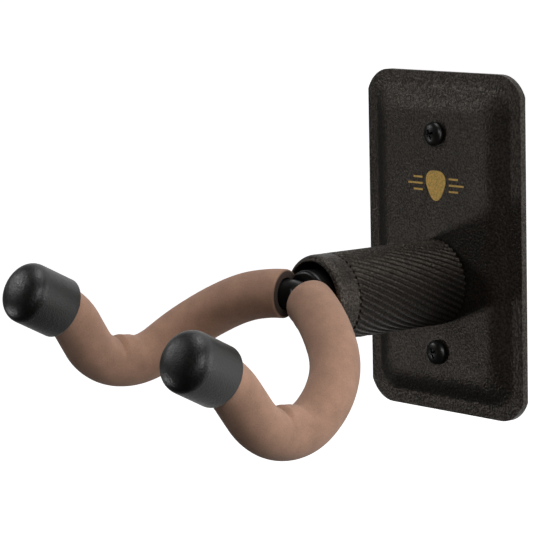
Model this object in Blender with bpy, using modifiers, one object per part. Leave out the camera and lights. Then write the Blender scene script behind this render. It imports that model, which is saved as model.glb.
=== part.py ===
"""Wall guitar hanger: stamped wall plate, knurled barrel and a swivelling padded yoke.

Metres, +Z up. The wall is the plane y = 0 and the hanger stands out of it towards -Y. The origin is
the centre of the plate's back. The yoke hangs on an empty on the barrel's axis, tilted a little, as
it is left after holding a lopsided headstock.
"""

from math import acos, cos, degrees, pi, radians, sin, tan

import bmesh
import bpy
from mathutils import Matrix, Vector

# Driving dimensions
GAP = 0.0003  # between pieces that touch
PLATE_WIDTH = 0.0738
PLATE_HEIGHT = 0.1143
SHEET = 0.0023
CORNER_RADIUS = 0.0113
CORNER_TRIM = 0.0008  # the straight sides are cut this much inside the corner arcs
FLANGE_WIDTH = 0.0054
SLOPE_WIDTH = 0.0060
PANEL_RISE = 0.0034
PANEL_CORNER_RADIUS = 0.0060
SCREW_SPACING = 0.0734
SCREW_HEAD_RADIUS = 0.0041
SCREW_HEAD_HEIGHT = 0.0026
SCREW_SHANK_RADIUS = 0.0019
SCREW_THREAD_RADIUS = 0.0021
SCREW_LENGTH = 0.0380
SCREW_PITCH = 0.0030
BARREL_HEIGHT = -0.01285  # of the barrel's axis from the plate's centre
BARREL_RADIUS = 0.0143
BARREL_FRONT = 0.0605  # distance of the barrel's mouth from the wall
BARREL_LIP = 0.0030
MOUTH_RADIUS = 0.0121
MOUTH_DEPTH = 0.0165
SPIGOT_RADIUS = 0.0100
REAR_BORE_RADIUS = 0.0086
STUD_RADIUS = 0.0040
STUD_HEAD_RADIUS = 0.0097
STUD_HEAD_FRONT = 0.0030  # the head's face, past the barrel's mouth
BUSH_RADIUS = 0.0062
BUSH_LENGTH = 0.0080
BUSH_FLANGE_RADIUS = 0.0080
BUSH_FLANGE = 0.0015
LOCK_RING_RADIUS = 0.0134
ROD_RADIUS = 0.00476
SLEEVE_RADIUS = 0.00794
SLEEVE_BORE = 0.0053
CAP_RADIUS = 0.0099
CAP_LENGTH = 0.0195
CAP_DOME = 0.0062
YOKE_TILT = radians(8.85)
SLEEVE_START = 0.0059  # along the rod from its middle
CAP_START = 0.1076
SLEEVE_INTO_CAP = 0.0080
ROD_INTO_CAP = 0.0136

# Half of the yoke rod's centreline, as corner points and bend radii. x is across, y is away from
# the barrel's mouth and z is up from the barrel's axis.
YOKE_CORNERS = [
    (0.0, 0.0044, 0.0018),
    (0.0161, 0.0096, -0.0001),
    (0.0372, 0.0175, -0.0143),
    (0.0436, 0.0449, -0.0359),
    (0.0403, 0.0666, -0.0074),
    (0.0418, 0.0950, 0.0068),
]
MIDDLE_BEND = 0.0120
YOKE_BENDS = [0.0504, 0.0335, 0.0204, 0.0258]

# Places along the barrel's axis, as distances from the wall
PANEL_BACK = PANEL_RISE
PANEL_FRONT = PANEL_RISE + SHEET
BARREL_BACK = PANEL_FRONT + GAP
SPIGOT_END = 0.0009
MOUTH_FLOOR = BARREL_FRONT - MOUTH_DEPTH
WEB_BACK = 0.0200
THRUST_WASHER = 0.0010
SHOULDER = MOUTH_FLOOR + BUSH_FLANGE + THRUST_WASHER + 3 * GAP
WAVE_WASHER_MIDDLE = 0.01725
FLAT_WASHER = (0.0151, 0.0163)
NUT = (0.0068, 0.0148)
NUT_COLLAR = 0.0024
NUT_FLATS = 0.0127
STUD_END = 0.0038


def material(name, colour, roughness, metallic=0.0):
    made = bpy.data.materials.new(name)
    made.use_nodes = True
    shader = made.node_tree.nodes["Principled BSDF"]
    shader.inputs["Base Color"].default_value = (*colour, 1.0)
    shader.inputs["Roughness"].default_value = roughness
    shader.inputs["Metallic"].default_value = metallic
    made.diffuse_color = (*colour, 1.0)
    return made


def finish(obj, surface, parent=None, collection="Wall guitar hanger", sharp=35):
    """Puts an object in its collection with its material, shaded smooth between sharp edges."""
    for old in obj.users_collection:
        old.objects.unlink(obj)
    bpy.data.collections[collection].objects.link(obj)
    if surface:
        obj.data.materials.append(surface)
    obj.parent = parent
    if obj.type == "MESH":
        obj.data.shade_smooth()
        obj.data.set_sharp_from_angle(angle=radians(sharp))
    return obj


def cutter(obj, parent=None):
    """Makes an object a hidden helper for a Boolean."""
    finish(obj, None, parent, "Cutters")
    obj.hide_render = True
    obj.display_type = "WIRE"
    return obj


def boolean(obj, other, operation="DIFFERENCE"):
    cut = obj.modifiers.new(operation.title() + " " + other.name, "BOOLEAN")
    cut.object = other
    cut.operation = operation
    cut.solver = "EXACT"


def bevel(obj, width, segments=2, angle=40):
    edge = obj.modifiers.new("Rounded edges", "BEVEL")
    edge.width = width
    edge.segments = segments
    edge.limit_method = "ANGLE"
    edge.angle_limit = radians(angle)


def mesh_object(name, shape):
    """Turns a bmesh into an object and frees it."""
    mesh = bpy.data.meshes.new(name)
    shape.to_mesh(mesh)
    shape.free()
    obj = bpy.data.objects.new(name, mesh)
    bpy.context.scene.collection.objects.link(obj)
    return obj


def arc(centre_r, centre_h, radius, start, end, steps, squash=1.0):
    """Points of an arc in a turned profile, from one angle to another in degrees."""
    angles = [radians(start + (end - start) * k / steps) for k in range(steps + 1)]
    return [(centre_r + radius * squash * cos(a), centre_h + radius * sin(a)) for a in angles]


def turned(name, profile, steps, hollow=False):
    """Turns a profile of (radius, height) about Z, top to bottom on its outer side.

    A hollow piece's profile is a loop. Any other begins and ends on the axis.
    """
    shape = bmesh.new()
    points = [shape.verts.new((r, 0.0, h)) for r, h in profile]
    for a, b in zip(points, points[1:]):
        shape.edges.new((a, b))
    if hollow:
        shape.edges.new((points[-1], points[0]))
    obj = mesh_object(name, shape)
    spin = obj.modifiers.new("Turn", "SCREW")
    spin.axis = "Z"
    spin.angle = 2 * pi
    spin.steps = steps
    spin.render_steps = steps
    spin.use_merge_vertices = True
    spin.merge_threshold = 0.00001
    spin.use_smooth_shade = True
    return obj


def outward(obj, x=0.0, distance=0.0, z=BARREL_HEIGHT):
    """Stands a turned piece on the wall: its own +Z points out of the wall, to -Y."""
    obj.location = (x, -distance, z)
    obj.rotation_euler = (pi / 2, 0.0, 0.0)
    return obj


def ring(inner, outer, low, high):
    """The closed profile of a plain ring."""
    return [(outer, high), (outer, low), (inner, low), (inner, high)]


def drill(name, radius, x, z, depth=0.02):
    """A round cutter through the plate."""
    shape = bmesh.new()
    bmesh.ops.create_cone(shape, cap_ends=True, segments=40, radius1=radius, radius2=radius, depth=depth)
    return cutter(outward(mesh_object(name, shape), x, 0.0, z))


# ---- wall plate --------------------------------------------------------------------------------


def plate_loop(inset, radius, trim):
    """A rounded rectangle inside the plate's outline, whose straight sides may be trimmed."""
    half_w = PLATE_WIDTH / 2 + trim - inset
    half_h = PLATE_HEIGHT / 2 - inset
    first = degrees(acos(1 - trim / radius))
    corner = arc(half_w - radius, half_h - radius, radius, first, 90, 7)
    quarter = list(corner)
    loop = quarter + [(-x, z) for x, z in reversed(quarter)]
    return loop + [(-x, -z) for x, z in quarter] + [(x, -z) for x, z in reversed(quarter)]


def build_wall_plate(surface):
    """A stamped sheet: flat flange, soft step up to a raised panel, and an open back."""
    steps = 5
    levels = [(0.0, CORNER_RADIUS, CORNER_TRIM, 0.0), (FLANGE_WIDTH, CORNER_RADIUS * 0.7, 0.0, 0.0)]
    for k in range(1, steps + 1):
        t = k / steps
        corner = CORNER_RADIUS * 0.7 * (1 - t) + PANEL_CORNER_RADIUS * t
        levels.append((FLANGE_WIDTH + SLOPE_WIDTH * t, corner, 0.0, PANEL_RISE * t * t * (3 - 2 * t)))
    shape = bmesh.new()
    loops = []
    for inset, radius, trim, rise in levels:
        points = [shape.verts.new((x, -SHEET - rise, z)) for x, z in plate_loop(inset, radius, trim)]
        loops.append([shape.edges.new((points[k - 1], points[k])) for k in range(len(points))])
    for outer, inner in zip(loops, loops[1:]):
        bmesh.ops.bridge_loops(shape, edges=outer + inner)
    bmesh.ops.contextual_create(shape, geom=loops[-1])
    bmesh.ops.recalc_face_normals(shape, faces=shape.faces)
    front = max(shape.faces, key=lambda face: face.calc_area())
    if front.normal.y > 0:
        bmesh.ops.reverse_faces(shape, faces=shape.faces)
    plate = mesh_object("wall_plate", shape)
    skin = plate.modifiers.new("Sheet", "SOLIDIFY")
    skin.thickness = SHEET
    skin.offset = -1.0
    skin.use_even_offset = True
    boolean(plate, drill("spigot_hole", SPIGOT_RADIUS + GAP, 0.0, BARREL_HEIGHT))
    for side in (1, -1):
        hole = drill("screw_hole", SCREW_THREAD_RADIUS + GAP, 0.0, side * SCREW_SPACING / 2)
        boolean(plate, hole)
    bevel(plate, 0.0004, angle=50)
    return finish(plate, surface)


# ---- mounting screws ---------------------------------------------------------------------------


def cross_recess():
    """A tapered cross, as the driver leaves it in the head."""
    long, short = 0.0024, 0.00055
    shape = bmesh.new()
    corners = []
    for turn in range(4):
        for point in ((long, -short), (long, short), (short, short)):
            corners.append(Matrix.Rotation(turn * pi / 2, 2) @ Vector(point))
    top = shape.faces.new([shape.verts.new((c.x, c.y, 0.001)) for c in corners])
    deep = bmesh.ops.extrude_face_region(shape, geom=[top])["geom"]
    bottom = [v for v in deep if isinstance(v, bmesh.types.BMVert)]
    bmesh.ops.translate(shape, verts=bottom, vec=(0.0, 0.0, -0.0026))
    bmesh.ops.scale(shape, verts=bottom, vec=(0.45, 0.45, 1.0))
    bmesh.ops.recalc_face_normals(shape, faces=shape.faces)
    return mesh_object("cross_recess", shape)


def build_screw(name, z, surface):
    """A pan-head wood screw with a cross recess. Its own height 0 is under the head."""
    head = SCREW_HEAD_HEIGHT
    dome = [(SCREW_HEAD_RADIUS * sin(a), head * (0.45 + 0.55 * cos(a))) for a in
            (radians(18 * k) for k in range(6))]
    profile = dome + [(SCREW_HEAD_RADIUS, 0.0), (SCREW_SHANK_RADIUS, 0.0)]
    turns = int((SCREW_LENGTH - 0.012) / SCREW_PITCH)
    for k in range(turns):
        h = -0.008 - SCREW_PITCH * k
        profile += [(SCREW_SHANK_RADIUS * 0.75, h), (SCREW_THREAD_RADIUS, h - SCREW_PITCH * 0.5)]
    profile += [(SCREW_SHANK_RADIUS * 0.75, profile[-1][1] - SCREW_PITCH * 0.5), (0.0, -SCREW_LENGTH)]
    screw = outward(turned(name, profile, 20), 0.0, PANEL_FRONT + GAP, z)
    recess = cutter(outward(cross_recess(), 0.0, PANEL_FRONT + GAP + head, z))
    boolean(screw, recess)
    return finish(screw, surface)


# ---- barrel and what it holds ------------------------------------------------------------------


def build_barrel(surface):
    """A turned barrel: mouth for the stud's head, web for the bushes, rear bore for the nut, spigot."""
    lip = arc(MOUTH_RADIUS + GAP, BARREL_FRONT - BARREL_LIP, BARREL_LIP, 90, 0, 5,
              (BARREL_RADIUS - MOUTH_RADIUS - GAP) / BARREL_LIP)
    band = BARREL_FRONT - 0.0076
    groove = 0.0004
    profile = lip + [
        (BARREL_RADIUS, band),
        (BARREL_RADIUS - groove, band - groove),
        (BARREL_RADIUS - groove, band - 2 * groove),
        (BARREL_RADIUS, band - 3 * groove),
        (BARREL_RADIUS, BARREL_BACK),
        (SPIGOT_RADIUS, BARREL_BACK),
        (SPIGOT_RADIUS, SPIGOT_END),
        (REAR_BORE_RADIUS, SPIGOT_END),
        (REAR_BORE_RADIUS, WEB_BACK),
        (BUSH_RADIUS + GAP, WEB_BACK),
        (BUSH_RADIUS + GAP, MOUTH_FLOOR),
        (MOUTH_RADIUS, MOUTH_FLOOR),
        (MOUTH_RADIUS, BARREL_FRONT - GAP),
    ]
    return finish(outward(turned("barrel", profile, 44, hollow=True)), surface)


def build_bush(name, distance, towards, surface):
    """A flanged bush. Its own height 0 is the flange's seat, and the sleeve runs to -Z."""
    profile = [
        (BUSH_FLANGE_RADIUS, BUSH_FLANGE),
        (BUSH_FLANGE_RADIUS, 0.0),
        (BUSH_RADIUS, 0.0),
        (BUSH_RADIUS, -BUSH_LENGTH),
        (STUD_RADIUS + GAP, -BUSH_LENGTH),
        (STUD_RADIUS + GAP, BUSH_FLANGE),
    ]
    bush = outward(turned(name, profile, 24, hollow=True), 0.0, distance)
    bush.rotation_euler.x = pi / 2 * towards
    return finish(bush, surface)


def build_lock_ring(surface):
    """A thin ring nut with four spanner notches, on the spigot behind the plate."""
    profile = ring(SPIGOT_RADIUS + GAP, LOCK_RING_RADIUS, SPIGOT_END, PANEL_BACK - GAP)
    lock_ring = outward(turned("barrel_lock_ring", profile, 32, hollow=True))
    width, depth = 0.0026, 0.0016
    for x, z in ((1, 0), (-1, 0), (0, 1), (0, -1)):
        shape = bmesh.new()
        bmesh.ops.create_cube(shape, size=1.0)
        size = (2 * depth if x else width, 0.02, 2 * depth if z else width)
        bmesh.ops.scale(shape, verts=shape.verts, vec=size)
        notch = mesh_object("spanner_notch", shape)
        notch.location = (x * LOCK_RING_RADIUS, 0.0, BARREL_HEIGHT + z * LOCK_RING_RADIUS)
        boolean(lock_ring, cutter(notch))
    return finish(lock_ring, surface)


# ---- yoke --------------------------------------------------------------------------------------


def bent(corners, bends, step):
    """Points along a run of straight stretches joined by arcs, no further apart than step."""
    points = [corners[0]]
    for before, corner, after, radius in zip(corners, corners[1:], corners[2:], bends):
        back = (before - corner).normalized()
        on = (after - corner).normalized()
        half = back.angle(on) / 2
        turn = pi - 2 * half
        start = corner + back * radius / tan(half)
        centre = corner + (back + on).normalized() * radius / sin(half)
        axis = (-back).cross(on).normalized()
        count = 2 * max(1, round(radius * turn / step / 2))
        for k in range(count + 1):
            spoke = Matrix.Rotation(turn * k / count, 3, axis) @ (start - centre)
            points.append(centre + spoke)
    points.append(corners[-1])
    return points


def stretch(points, start, end, step):
    """Evenly spaced points from one distance along a path to another, and each end's direction."""
    lengths = [0.0]
    for a, b in zip(points, points[1:]):
        lengths.append(lengths[-1] + (b - a).length)

    def at(distance):
        k = max(i for i, length in enumerate(lengths[:-1]) if length <= distance)
        share = (distance - lengths[k]) / (lengths[k + 1] - lengths[k])
        return points[k].lerp(points[k + 1], share)

    count = max(1, round((end - start) / step))
    return [at(start + (end - start) * k / count) for k in range(count + 1)]


def half_yoke(side):
    """The rod's centreline from its middle to one end, in the yoke's own frame."""
    corners = [Vector((side * x, -y, z)) for x, y, z in YOKE_CORNERS]
    across = Vector((-corners[1].x, corners[1].y, corners[1].z))
    path = bent([across] + corners, [MIDDLE_BEND] + YOKE_BENDS, 0.0015)
    middle = min(range(len(path)), key=lambda k: abs(path[k].x))
    return path[middle:]


def tube(name, points, radius, sides, caps=True):
    """A round bar, or with no caps the skin of one, along a path."""
    curve = bpy.data.curves.new(name, "CURVE")
    curve.dimensions = "3D"
    curve.bevel_depth = radius
    curve.bevel_resolution = (sides - 4) // 2
    curve.use_fill_caps = caps
    line = curve.splines.new("POLY")
    line.points.add(len(points) - 1)
    for place, point in zip(line.points, points):
        place.co = (*point, 1.0)
    obj = bpy.data.objects.new(name, curve)
    bpy.context.scene.collection.objects.link(obj)
    return obj


def as_mesh(obj):
    """Turns a curve object into a welded mesh object in its place."""
    bpy.context.view_layer.update()
    graph = bpy.context.evaluated_depsgraph_get()
    mesh = bpy.data.meshes.new_from_object(obj.evaluated_get(graph))
    shape = bmesh.new()
    shape.from_mesh(mesh)
    bmesh.ops.remove_doubles(shape, verts=shape.verts, dist=0.00001)
    bmesh.ops.recalc_face_normals(shape, faces=shape.faces)
    shape.to_mesh(mesh)
    shape.free()
    solid = bpy.data.objects.new(obj.name, mesh)
    solid.matrix_world = obj.matrix_world
    bpy.context.scene.collection.objects.link(solid)
    bpy.data.objects.remove(obj)
    solid.name = mesh.name
    return solid


def build_yoke_rod(paths, surface, pivot):
    """One bent bar across the stud's head, from inside one end cap to inside the other."""
    left, right = (stretch(path, 0.0, CAP_START + ROD_INTO_CAP, 0.0040) for path in paths)
    rod = as_mesh(tube("yoke_rod", left[::-1] + right[1:], ROD_RADIUS, 10))
    return finish(rod, surface, pivot)


def build_sleeve(name, path, surface, pivot):
    """A foam rubber tube over one arm, cut square beside the stud's head."""
    points = stretch(path, SLEEVE_START, CAP_START + SLEEVE_INTO_CAP, 0.0038)
    sleeve = as_mesh(tube(name, points, SLEEVE_RADIUS, 14, caps=False))
    wall = sleeve.modifiers.new("Foam wall", "SOLIDIFY")
    wall.thickness = SLEEVE_RADIUS - SLEEVE_BORE
    wall.offset = -1.0
    return finish(sleeve, surface, pivot)


def build_end_cap(name, path, surface, pivot):
    """A moulded cap with a full, flat-topped dome, bored for the sleeve and the rod."""
    edge = 0.0010
    quarter = [radians(90 - 10 * k) for k in range(10)]
    profile = [
        (CAP_RADIUS * cos(a) ** 0.83 if a < 1.57 else 0.0, CAP_LENGTH - CAP_DOME * (1 - sin(a) ** 0.91))
        for a in quarter
    ]
    profile += arc(CAP_RADIUS - edge, edge, edge, 0, -90, 3)
    sleeve_hole = SLEEVE_RADIUS + GAP
    rod_hole = ROD_RADIUS + GAP
    profile += [
        (sleeve_hole, 0.0),
        (sleeve_hole, SLEEVE_INTO_CAP + GAP),
        (rod_hole, SLEEVE_INTO_CAP + GAP),
        (rod_hole, ROD_INTO_CAP + GAP),
        (0.0, ROD_INTO_CAP + GAP),
    ]
    cap = turned(name, profile, 28)
    onward = (path[-1] - path[-2]).normalized()
    tip = stretch(path, CAP_START, CAP_START + CAP_LENGTH, CAP_LENGTH)[-1]
    cap.location = tip - onward * CAP_LENGTH
    cap.rotation_euler = onward.to_track_quat("Z", "Y").to_euler()
    return finish(cap, surface, pivot)


def on_pivot(obj, distance=BARREL_FRONT):
    """Sets a turned piece on the yoke's pivot, at a distance from the wall, facing out of it."""
    obj.location = (0.0, BARREL_FRONT - distance, 0.0)
    obj.rotation_euler = (pi / 2, 0.0, 0.0)
    return obj


def build_stud(paths, surface, pivot):
    """The swivel stud: thread end, shank, thrust collar, neck and a head that is cut for the rod."""
    collar, neck, edge = 0.0075, 0.0060, 0.0014
    face = BARREL_FRONT + STUD_HEAD_FRONT
    profile = [(0.0, face)]
    profile += arc(STUD_HEAD_RADIUS - edge, face - edge, edge, 90, 0, 4)
    profile += [
        (STUD_HEAD_RADIUS, face - 0.0080),
        (neck, face - 0.0105),
        (neck, SHOULDER + 0.0026),
        (collar, SHOULDER + 0.0020),
        (collar, SHOULDER),
        (STUD_RADIUS, SHOULDER),
        (STUD_RADIUS, STUD_END + 0.0008),
        (STUD_RADIUS - 0.0008, STUD_END),
        (0.0, STUD_END),
    ]
    stud = on_pivot(turned("swivel_stud", [(r, h - BARREL_FRONT) for r, h in profile], 28))
    left, right = (stretch(path, 0.0, 0.016, 0.0020) for path in paths)
    channel = as_mesh(tube("rod_channel", left[::-1] + right[1:], ROD_RADIUS + GAP, 12))
    boolean(stud, cutter(channel, pivot))
    for path in paths:
        points = stretch(path, SLEEVE_START - GAP, 0.022, 0.0020)
        relief = as_mesh(tube("sleeve_relief", points, SLEEVE_RADIUS + GAP, 16))
        boolean(stud, cutter(relief, pivot))
    return finish(stud, surface, pivot)


def build_wave_washer(surface, pivot):
    """A spring washer whose ring rises and falls three times."""
    steps, wave = 30, 0.00045
    shape = bmesh.new()
    loops = []
    for radius in (STUD_RADIUS + GAP, 0.0074):
        points = []
        for k in range(steps):
            a = 2 * pi * k / steps
            points.append(shape.verts.new((radius * cos(a), radius * sin(a), wave * cos(3 * a))))
        loops.append([shape.edges.new((points[k - 1], points[k])) for k in range(steps)])
    bmesh.ops.bridge_loops(shape, edges=loops[0] + loops[1])
    bmesh.ops.recalc_face_normals(shape, faces=shape.faces)
    washer = on_pivot(mesh_object("wave_washer", shape), WAVE_WASHER_MIDDLE)
    skin = washer.modifiers.new("Sheet", "SOLIDIFY")
    skin.thickness = 0.0004
    skin.offset = 0.0
    return finish(washer, surface, pivot)


def build_washer(name, outer, low, high, surface, pivot=None):
    """A plain washer round the stud, between two distances from the wall."""
    washer = turned(name, ring(STUD_RADIUS + GAP, outer, low, high), 24, hollow=True)
    if pivot:
        on_pivot(washer, 0.0)
    else:
        outward(washer)
    return finish(washer, surface, pivot)


def build_lock_nut(surface, pivot):
    """A hexagon nut with a round collar that holds the nylon insert, on its side next to the wall."""
    low, high = NUT
    corner = NUT_FLATS / 2 / cos(pi / 6)
    bore = STUD_RADIUS + GAP
    profile = [
        (corner - 0.0006, high),
        (corner + 0.0001, high - 0.0006),
        (corner + 0.0001, low + NUT_COLLAR + 0.0006),
        (corner - 0.0006, low + NUT_COLLAR),
        (0.0060, low + NUT_COLLAR),
        (0.0060, low),
        (bore + GAP, low),
        (bore + GAP, low + 0.0004),
        (0.0053, low + 0.0004),
        (0.0053, low + NUT_COLLAR - 0.0002),
        (bore, low + NUT_COLLAR - 0.0002),
        (bore, high),
    ]
    nut = on_pivot(turned("lock_nut", profile, 36, hollow=True), 0.0)
    shape = bmesh.new()
    bmesh.ops.create_cone(shape, cap_ends=True, segments=6, radius1=corner, radius2=corner, depth=0.02)
    hexagon = on_pivot(mesh_object("nut_hexagon", shape), (low + high) / 2)
    boolean(nut, cutter(hexagon, pivot), "INTERSECT")
    return finish(nut, surface, pivot)


# ---- assembly ----------------------------------------------------------------------------------


def main():
    for obj in list(bpy.data.objects):
        bpy.data.objects.remove(obj, do_unlink=True)
    for name in ("Wall guitar hanger", "Cutters"):
        bpy.context.scene.collection.children.link(bpy.data.collections.new(name))
    bpy.data.collections["Cutters"].hide_render = True

    coated = material("Black textured powder coat", (0.025, 0.022, 0.020), 0.6)
    blacked = material("Black oxide steel", (0.03, 0.03, 0.03), 0.4, 0.8)
    plated = material("Zinc plated steel", (0.62, 0.62, 0.60), 0.3, 1.0)
    nylon = material("Natural nylon", (0.80, 0.78, 0.70), 0.45)
    foam = material("Tan foam rubber", (0.30, 0.20, 0.15), 0.85)
    rubber = material("Black moulded rubber", (0.022, 0.022, 0.021), 0.5)

    build_wall_plate(coated)
    build_screw("mounting_screw_upper", SCREW_SPACING / 2, blacked)
    build_screw("mounting_screw_lower", -SCREW_SPACING / 2, blacked)
    build_barrel(coated)
    build_lock_ring(plated)
    build_bush("front_bushing", MOUTH_FLOOR + GAP, 1, nylon)
    build_bush("rear_bushing", WEB_BACK - GAP, -1, nylon)
    washer_low = SHOULDER - GAP - THRUST_WASHER
    build_washer("thrust_washer", BUSH_FLANGE_RADIUS, washer_low, SHOULDER - GAP, nylon)

    pivot = bpy.data.objects.new("yoke_pivot", None)
    pivot.empty_display_size = 0.02
    pivot.location = (0.0, -BARREL_FRONT, BARREL_HEIGHT)
    pivot.rotation_euler = (0.0, YOKE_TILT, 0.0)
    bpy.data.collections["Wall guitar hanger"].objects.link(pivot)
    paths = half_yoke(-1), half_yoke(1)
    build_stud(paths, blacked, pivot)
    build_yoke_rod(paths, blacked, pivot)
    for side, path in zip(("left", "right"), paths):
        build_sleeve("sleeve_" + side, path, foam, pivot)
        build_end_cap("end_cap_" + side, path, rubber, pivot)
    build_wave_washer(plated, pivot)
    build_washer("flat_washer", 0.0079, *FLAT_WASHER, plated, pivot)
    build_lock_nut(plated, pivot)
    insert = (NUT[0] + 0.0007, NUT[0] + NUT_COLLAR - 0.0005)
    build_washer("lock_nut_insert", 0.0050, *insert, nylon, pivot)


main()
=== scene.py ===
"""Looks of the wall guitar hanger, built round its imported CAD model.

A stamped wall plate carries a knurled barrel. A swivel stud turns in the barrel's mouth and holds
a bent rod whose two arms wear foam sleeves and moulded end caps. Everything is in metres, with the
wall at y = 0, the hanger towards -Y and +Z up.
"""

from math import acos, cos, degrees, pi, radians, sin, tan

import bmesh
import bpy
import numpy as np
from bpy.props import FloatProperty, FloatVectorProperty, IntProperty, PointerProperty
from mathutils import Matrix, Vector, noise


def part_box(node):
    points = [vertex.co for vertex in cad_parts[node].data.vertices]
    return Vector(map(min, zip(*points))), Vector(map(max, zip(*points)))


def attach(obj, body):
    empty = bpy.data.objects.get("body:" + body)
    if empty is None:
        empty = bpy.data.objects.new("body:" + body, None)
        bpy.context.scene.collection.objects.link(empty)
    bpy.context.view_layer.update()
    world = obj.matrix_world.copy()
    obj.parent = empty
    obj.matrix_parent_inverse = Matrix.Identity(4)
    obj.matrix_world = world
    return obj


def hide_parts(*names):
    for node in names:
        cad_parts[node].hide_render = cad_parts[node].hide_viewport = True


bl_info = {
    "name": "Wall guitar hanger",
    "version": (1, 0, 0),
    "blender": (4, 5, 0),
    "location": "3D View > Sidebar > Hanger",
    "description": "Builds the finished surfaces of a swivelling wall guitar hanger",
    "category": "Object",
}

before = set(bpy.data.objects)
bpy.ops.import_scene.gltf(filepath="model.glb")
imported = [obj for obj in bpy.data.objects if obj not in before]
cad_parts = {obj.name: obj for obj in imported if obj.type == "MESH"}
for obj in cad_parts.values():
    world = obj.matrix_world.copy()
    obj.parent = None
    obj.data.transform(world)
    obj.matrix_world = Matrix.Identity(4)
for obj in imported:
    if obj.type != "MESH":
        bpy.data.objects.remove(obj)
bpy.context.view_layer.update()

# ---- places and sizes read from the frame ------------------------------------------------------

PLATE_LOW, PLATE_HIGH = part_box("wall_plate")
PLATE_WIDTH = PLATE_HIGH.x - PLATE_LOW.x
PLATE_HEIGHT = PLATE_HIGH.z - PLATE_LOW.z
PANEL_FRONT = -PLATE_LOW.y
BARREL_LOW, BARREL_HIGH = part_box("barrel")
BARREL_X = (BARREL_LOW.x + BARREL_HIGH.x) / 2
BARREL_Z = (BARREL_LOW.z + BARREL_HIGH.z) / 2
BARREL_RADIUS = (BARREL_HIGH.x - BARREL_LOW.x) / 2
BARREL_FRONT = -BARREL_LOW.y
SPIGOT_END = -BARREL_HIGH.y
SCREWS = {"upper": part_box("mounting_screw_upper"), "lower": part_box("mounting_screw_lower")}
STUD_END = -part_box("swivel_stud")[1].y

# ---- sizes that the frame's boxes don't give ---------------------------------------------------

GAP = 0.0003  # between pieces that touch
MOUTH_RADIUS = 0.0121
MOUTH_DEPTH = 0.0165
WEB_BACK = 0.0200
WEB_BORE = 0.0065
REAR_BORE = 0.0086
SPIGOT_RADIUS = 0.0100
ROD_RADIUS = 0.00476
SLEEVE_BORE = 0.0053
SLEEVE_OUTER = 0.00794
CAP_RADIUS = 0.0099
CAP_LENGTH = 0.0195
YOKE_TILT = radians(8.85)
SLEEVE_START = 0.0059  # along the rod from its middle
CAP_START = 0.1076
SLEEVE_INTO_CAP = 0.0080
ROD_INTO_CAP = 0.0136

# Half of the yoke rod's centreline, as corner points and bend radii. x is across, y is away from
# the barrel's mouth and z is up from the barrel's axis.
YOKE_CORNERS = [
    (0.0, 0.0044, 0.0018),
    (0.0161, 0.0096, -0.0001),
    (0.0372, 0.0175, -0.0143),
    (0.0436, 0.0449, -0.0359),
    (0.0403, 0.0666, -0.0074),
    (0.0418, 0.0950, 0.0068),
]
MIDDLE_BEND = 0.0120
YOKE_BENDS = [0.0504, 0.0335, 0.0204, 0.0258]
BOTTOM_CORNER = 3  # the corner of each arm's lowest bend

# +Z of a turned piece points out of the wall
OUT_OF_WALL = Matrix.Rotation(pi / 2, 4, "X")
ON_BARREL = Matrix.Translation((BARREL_X, 0.0, BARREL_Z)) @ OUT_OF_WALL
PIVOT = Matrix.Translation((BARREL_X, -BARREL_FRONT, BARREL_Z)) @ Matrix.Rotation(YOKE_TILT, 4, "Y")


def hex_linear(code):
    """The linear colour of an sRGB hex value."""
    shares = [int(code[k : k + 2], 16) / 255 for k in (0, 2, 4)]
    return [s / 12.92 if s <= 0.04045 else ((s + 0.055) / 1.055) ** 2.4 for s in shares]


def colour_prop(name, description, code):
    return FloatVectorProperty(
        name=name,
        description=description,
        default=hex_linear(code),
        size=3,
        min=0.0,
        max=1.0,
        subtype="COLOR",
    )


def length_prop(name, description, default):
    return FloatProperty(name=name, description=description, default=default, min=0.0, unit="LENGTH")


class HangerSizes(bpy.types.PropertyGroup):
    """Sizes of the details that the CAD model leaves plain."""

    sheet: length_prop("Sheet", "Thickness of the plate's sheet steel", 0.0023)
    corner: length_prop("Plate corner", "Radius of the plate's outer corners", 0.0113)
    flange: length_prop("Flange", "Width of the flat edge round the plate", 0.0042)
    slope: length_prop("Slope", "Width of the soft pressed step round the panel", 0.0100)
    ribs: IntProperty(name="Ribs", description="Ribs round the barrel", default=40, min=12, max=96)
    rib_depth: length_prop("Rib depth", "Height of a rib over its grooves", 0.00060)
    helix: FloatProperty(
        name="Helix",
        description="Angle of the ribs to the barrel's axis",
        default=radians(26.5),
        subtype="ANGLE",
    )
    front_band: length_prop("Front band", "Plain band in front of the ribs", 0.0076)
    crease: length_prop("Crease", "Height of the foam gathered inside each low bend", 0.0014)
    emblem: length_prop("Emblem", "Width of the printed emblem", 0.0270)


class HangerColours(bpy.types.PropertyGroup):
    """Colours of the finishes."""

    coat: colour_prop("Powder coat", "Black textured coat of plate and barrel", "0D0B09")
    steel: colour_prop("Black steel", "Black oxide on screws, stud and rod", "141413")
    zinc: colour_prop("Zinc", "Plating of nut, washers and ring", "C8CACB")
    nylon: colour_prop("Nylon", "Bushes and thrust washer", "E4DDC8")
    foam: colour_prop("Foam", "Foam rubber of the sleeves", "AC8670")
    cap: colour_prop("Cap", "Rubber of the end caps", "10110F")
    print_ink: colour_prop("Ink", "Printed emblem on the plate", "DDB45C")
    floor: colour_prop("Floor", "Studio floor", "F2F2F2")


# ---- nodes ---------------------------------------------------------------------------------------

# Sockets of a Mix node set to colours, whose names repeat: its share, its two colours, its result.
MIX_SHARE, COLOUR_A, COLOUR_B, MIXED_COLOUR = 0, 6, 7, 2


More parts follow.
